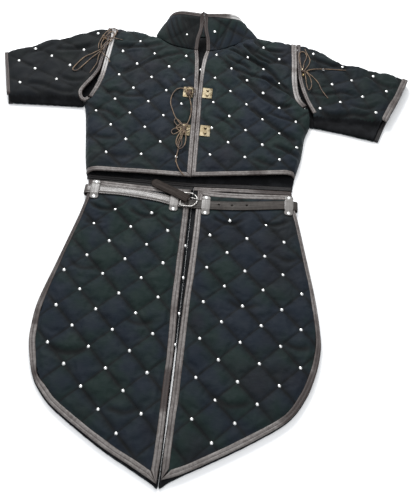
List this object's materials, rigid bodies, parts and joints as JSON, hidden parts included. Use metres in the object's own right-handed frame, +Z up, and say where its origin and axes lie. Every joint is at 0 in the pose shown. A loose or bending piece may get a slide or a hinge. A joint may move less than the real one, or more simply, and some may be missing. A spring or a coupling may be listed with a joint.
{
  "type": "gambeson",
  "caption": "Quilted arming jacket with laced short sleeves and a belted split skirt, laid flat.",
  "frame": {"origin": "on the floor under the middle of the laid garment's outline", "axes": "+Y towards the collar, +X towards the wearer's left, +Z up from the floor"},
  "size_m": [1.169, 1.3686, 0.0785],
  "materials": {
    "cloth": "dark twill, slight sheen",
    "leather_grey": "worn, satin",
    "leather_belt": "satin",
    "lace": "matte thong",
    "brass": "satin",
    "nickel": "bright"
  },
  "bodies": {
    "root": {"armhole_binding_left": "leather_grey", "armhole_binding_right": "leather_grey", "back_hem_binding": "leather_grey", "belt_left": "leather_belt", "belt_rear": "leather_belt", "belt_right": "leather_belt", "belt_tab_left_inner": "leather_belt", "belt_tab_left_outer": "leather_belt", "belt_tab_right_inner": "leather_belt", "belt_tab_right_outer": "leather_belt", "belt_tail": "leather_belt", "buckle_frame": "nickel", "buckle_prong": "nickel", "collar": "cloth", "collar_binding": "leather_grey", "cuff_binding_under_left": "leather_grey", "cuff_binding_under_right": "leather_grey", "cuff_binding_upper_left": "leather_grey", "cuff_binding_upper_right": "leather_grey", "front_binding_left": "leather_grey", "front_binding_right": "leather_grey", "jacket_back": "cloth", "jacket_front_left": "cloth", "jacket_front_right": "cloth", "lace_front_bow": "lace", "lace_front_loop": "lace", "lace_front_tail": "lace", "lace_knot_front": "lace", "lace_knot_left": "lace", "lace_knot_right": "lace", "lace_left_loop": "lace", "lace_left_tails": "lace", "lace_right_bow": "lace", "lace_right_loop": "lace", "plate_lower_left": "brass", "plate_lower_right": "brass", "plate_upper_left": "brass", "plate_upper_right": "brass", "rivet_left_inner_bottom": "nickel", "rivet_left_inner_top": "nickel", "rivet_left_outer_bottom": "nickel", "rivet_left_outer_top": "nickel", "rivet_right_inner_bottom": "nickel", "rivet_right_inner_top": "nickel", "rivet_right_outer_bottom": "nickel", "rivet_right_outer_top": "nickel", "skirt_back_left": "cloth", "skirt_back_right": "cloth", "skirt_binding_left": "leather_grey", "skirt_binding_right": "leather_grey", "skirt_front_left": "cloth", "skirt_front_right": "cloth", "sleeve_head_binding_left": "leather_grey", "sleeve_head_binding_right": "leather_grey", "sleeve_under_left": "cloth", "sleeve_under_right": "cloth", "sleeve_upper_left": "cloth", "sleeve_upper_right": "cloth", "waist_binding_back_left": "leather_grey", "waist_binding_back_right": "leather_grey"}
  },
  "joints": []
}
